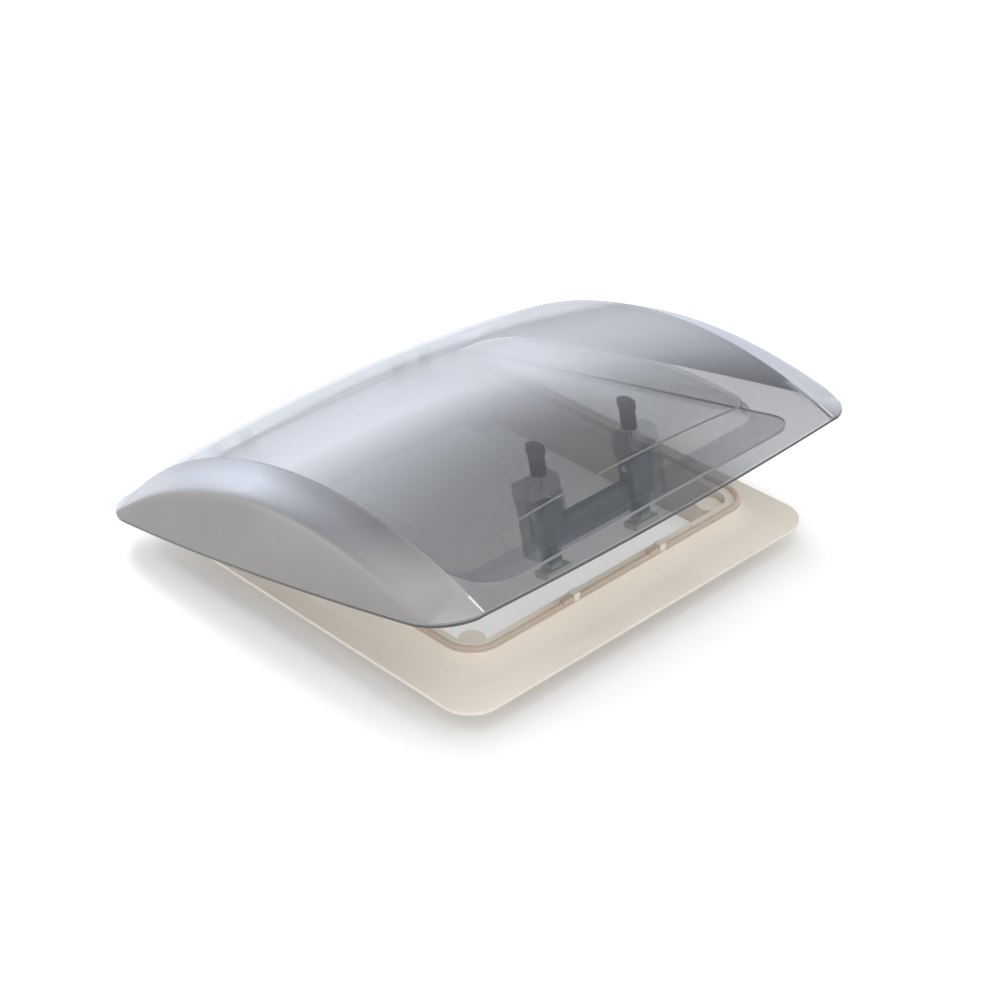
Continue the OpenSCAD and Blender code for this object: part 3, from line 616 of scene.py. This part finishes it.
cream = moulded("cream_plastic", dark=(0.82, 0.75, 0.66), light=(0.86, 0.79, 0.70),
                roughness=0.48, grain=1600, depth=0.0001)
tan = moulded("tan_rubber", dark=(0.56, 0.45, 0.355), light=(0.64, 0.525, 0.42),
              roughness=0.6, grain=1200, depth=0.0001)
grey = moulded("grey_plastic", dark=(0.055, 0.057, 0.06), light=(0.075, 0.078, 0.082),
               roughness=0.5, grain=1500, depth=0.0001)
blue_grey = moulded("blue_grey_plastic", dark=(0.085, 0.11, 0.135), light=(0.115, 0.145, 0.175),
                    roughness=0.3, grain=700, depth=0.00002, edge=0.0015, tone=pale_feet)
black = moulded("black_rubber", dark=(0.014, 0.014, 0.015), light=(0.024, 0.024, 0.025),
                roughness=0.5, grain=1100, depth=0.0001)
steel = moulded("zinc_steel", dark=(0.52, 0.53, 0.54), light=(0.62, 0.63, 0.64),
                roughness=0.3, grain=700, depth=0.00005, metallic=1.0)
# Painted shade: a dark line along the foot of the rim
dome_foot_shade = moulded("acrylic_foot_shade", dark=(0.05, 0.055, 0.06), light=(0.075, 0.08, 0.085),
                    roughness=0.25, grain=900, depth=0.00005)
# Painted highlight on the fold and the edge of the pane
pane_highlight = moulded("pane_painted_highlight", dark=(0.86, 0.87, 0.84), light=(0.94, 0.95, 0.92),
                    roughness=0.3, grain=900, depth=0.00005)
# Painted highlight on the front end of each crease
crease_highlight = moulded("crease_highlight", dark=(0.46, 0.47, 0.49), light=(0.56, 0.57, 0.59),
                      roughness=0.3, grain=900, depth=0.00005)
smoked = see_through("smoked_acrylic", tint=(0.645, 0.65, 0.655), mirror=(0.87, 0.91, 1.0), roughness=0.1,
                     haze=0.03, haze_colour=(0.5, 0.53, 0.58),
                     shine=lambda tree: steep_shine(tree, least=0.03, gain=2.4, most=0.43))
clear = see_through("clear_acrylic", tint=(0.965, 0.965, 0.96), mirror=(0.94, 0.96, 1.0), roughness=0.05,
                    haze=0.015, haze_colour=(0.66, 0.66, 0.65),
                    shine=lambda tree: steep_shine(tree, least=0.01, gain=0.9, most=0.4))
pillar = see_through("clear_moulding", tint=(0.985, 0.99, 0.985), mirror=(0.95, 0.97, 1.0), roughness=0.08,
                     haze=0.05, haze_colour=(0.84, 0.86, 0.84),
                     shine=lambda tree: fresnel(tree, ACRYLIC_IOR))
frosted = frosted_sheet("frosted_acrylic")

SLOT_MATERIALS = {
    "cream_plastic": cream, "tan_rubber": tan, "grey_plastic": grey, "blue_grey_plastic": blue_grey,
    "black_rubber": black, "steel": steel, "smoked_acrylic": smoked, "clear_acrylic": clear,
    "clear_plastic": pillar,
}
for part in frame["record"]["subparts"]:
    part_mesh = NODES[part["node"]].data
    part_mesh.materials.clear()
    part_mesh.materials.append(SLOT_MATERIALS[part["material_slot"]])

build_dome([smoked, frosted, dome_foot_shade, crease_highlight])
build_pane([clear, pane_highlight])


# Studio, in metres and watts: the floor and its far fade, the sky with its two patches, and the lamps
FLOOR_HALF = 6.0
FLOOR_GAP = 0.0003
FLOOR_COLOUR = (0.8, 0.8, 0.8)
FLOOR_LIFT = 0.17
FADE_START = 1.4
FADE_END = 2.4
SKY_TOP = (0.15, 0.45, 0.88)
SKY_LOW = 0.75
SKY_HIGH = 1.0
PATCH_PLACE = (0.38, 0.82, 0.43)
PATCH_EDGE = 0.80
PATCH_LIGHT = 0.6
SHADE_PLACE = (0.72, 0.14, 0.68)
SHADE_EDGE = 0.70
SHADE_DEPTH = 0.7
WHITE = (1, 1, 1)
LAMP_SIZE = 1.6
LAMP_COLOUR = (1.0, 0.995, 0.985)
LAMP_TARGET = Vector((0, 0, 0.05))
KEY_PLACE = Vector((0.3, 0.8, 2.0))
KEY_WATTS = 34.0
FILL_PLACE = Vector((-0.7, -0.65, 2.2))
FILL_WATTS = 16.0

# Camera of the photograph, solved from the flange and the rim: degrees, metres, pixels and millimetres
CAMERA_AZIMUTH = -44.4
CAMERA_ELEVATION = 31.99
CAMERA_DISTANCE = 1.61557
CAMERA_RIGHT = 0.01734
CAMERA_UP = 0.0126
FLANGE_MIDDLE = Vector((0, 0, 0.0015))
FOCAL_PIXELS = 2124.44
FRAME_PIXELS = 1000
SENSOR_WIDTH = 36.0


def build_floor():
    """Pale floor, lifted a little where it is seen, that fades to plain white far from the object."""
    level = cad_box[0][2] - FLOOR_GAP
    signs = [(-1, -1), (1, -1), (1, 1), (-1, 1)]
    mesh = bpy.data.meshes.new("floor")
    mesh.from_pydata([(x * FLOOR_HALF, y * FLOOR_HALF, level) for x, y in signs], [], [(0, 1, 2, 3)])
    tree = new_material("pale_floor")
    seen = tree.math("MAXIMUM", tree.ray("Is Camera Ray"), tree.ray("Is Glossy Ray"))
    matt = tree.add("ShaderNodeBsdfDiffuse", "BSDF", {"Color": rgba(FLOOR_COLOUR)})
    lift = tree.add("ShaderNodeEmission", "Emission", {"Strength": tree.spread(seen, 0.0, FLOOR_LIFT)})
    near = tree.add("ShaderNodeAddShader", "Shader", {0: matt, 1: lift})
    white = tree.add("ShaderNodeEmission", "Emission", {"Color": rgba(WHITE)})
    fade = tree.climb(tree.length(tree.place("Object")), FADE_START, FADE_END)
    far = tree.math("MULTIPLY", fade, tree.ray("Is Camera Ray"))
    mesh.materials.append(tree.close(tree.mix(far, near, white)))
    floor = bpy.data.objects.new("floor", mesh)
    bpy.context.scene.collection.objects.link(floor)


def build_world():
    """White studio: softer from the front, brighter from above, plain white where it is seen.

    The broad bright patch behind the object and the shaded one overhead on the right act on its
    lighting and reflections alone.
    """
    tree = NodeTree(bpy.data.worlds.new("studio"))
    where = tree.place("Generated")

    def facing(direction):
        return tree.dot(where, Vector(direction).normalized())

    def spot(direction, edge):
        """One in the direction, falling smoothly to nothing where the cosine reaches the edge."""
        rise = tree.math("MULTIPLY_ADD", facing(direction), 1 / (1 - edge), -edge / (1 - edge))
        above = tree.math("MAXIMUM", rise, 0.0)
        return tree.math("MULTIPLY", above, above)

    straight = tree.math("MAXIMUM", tree.ray("Is Camera Ray"), tree.ray("Is Transmission Ray"))
    seen = tree.math("MAXIMUM", straight, tree.ray("Is Glossy Ray"))
    sky_swing = (SKY_HIGH - SKY_LOW) / 2
    sky = tree.math("MULTIPLY_ADD", facing(SKY_TOP), sky_swing, SKY_LOW + sky_swing)
    plain = tree.math("MAXIMUM", sky, seen)
    bright = tree.math("MULTIPLY", spot(PATCH_PLACE, PATCH_EDGE), PATCH_LIGHT)
    dark = tree.math("MULTIPLY", spot(SHADE_PLACE, SHADE_EDGE), SHADE_DEPTH)
    unseen = tree.math("SUBTRACT", 1.0, straight)
    level = tree.math("MULTIPLY_ADD", tree.math("SUBTRACT", bright, dark), unseen, plain)
    back = tree.add("ShaderNodeBackground", "Background", {"Color": rgba(WHITE), "Strength": level})
    bpy.context.scene.world = tree.close(back, "ShaderNodeOutputWorld")


def build_lamp(name, place, watts):
    """Square area lamp that looks at the object and isn't mirrored in it."""
    light = bpy.data.lights.new(name, "AREA")
    light.shape = "SQUARE"
    light.size = LAMP_SIZE
    light.energy = watts
    light.color = LAMP_COLOUR
    lamp = bpy.data.objects.new(name, light)
    lamp.location = place
    lamp.rotation_euler = (LAMP_TARGET - place).to_track_quat("-Z", "Y").to_euler()
    lamp.visible_glossy = False
    bpy.context.scene.collection.objects.link(lamp)


def build_camera():
    """Camera at the solved distance and shift from the middle of the flange."""
    azimuth = math.radians(CAMERA_AZIMUTH)
    elevation = math.radians(CAMERA_ELEVATION)
    level = math.cos(elevation)
    back = Vector((math.sin(azimuth) * level, -math.cos(azimuth) * level, math.sin(elevation)))
    right = Vector((math.cos(azimuth), math.sin(azimuth), 0))
    up = back.cross(right)
    data = bpy.data.cameras.new("photo_camera")
    data.sensor_width = SENSOR_WIDTH
    data.lens = FOCAL_PIXELS / FRAME_PIXELS * SENSOR_WIDTH
    camera = bpy.data.objects.new("photo_camera", data)
    camera.location = FLANGE_MIDDLE + back * CAMERA_DISTANCE + right * CAMERA_RIGHT + up * CAMERA_UP
    camera.rotation_euler = (-back).to_track_quat("-Z", "Y").to_euler()
    bpy.context.scene.collection.objects.link(camera)
    bpy.context.scene.camera = camera


build_floor()
build_world()
build_lamp("key", KEY_PLACE, KEY_WATTS)
build_lamp("fill", FILL_PLACE, FILL_WATTS)
build_camera()
bpy.context.scene.view_settings.view_transform = "Standard"
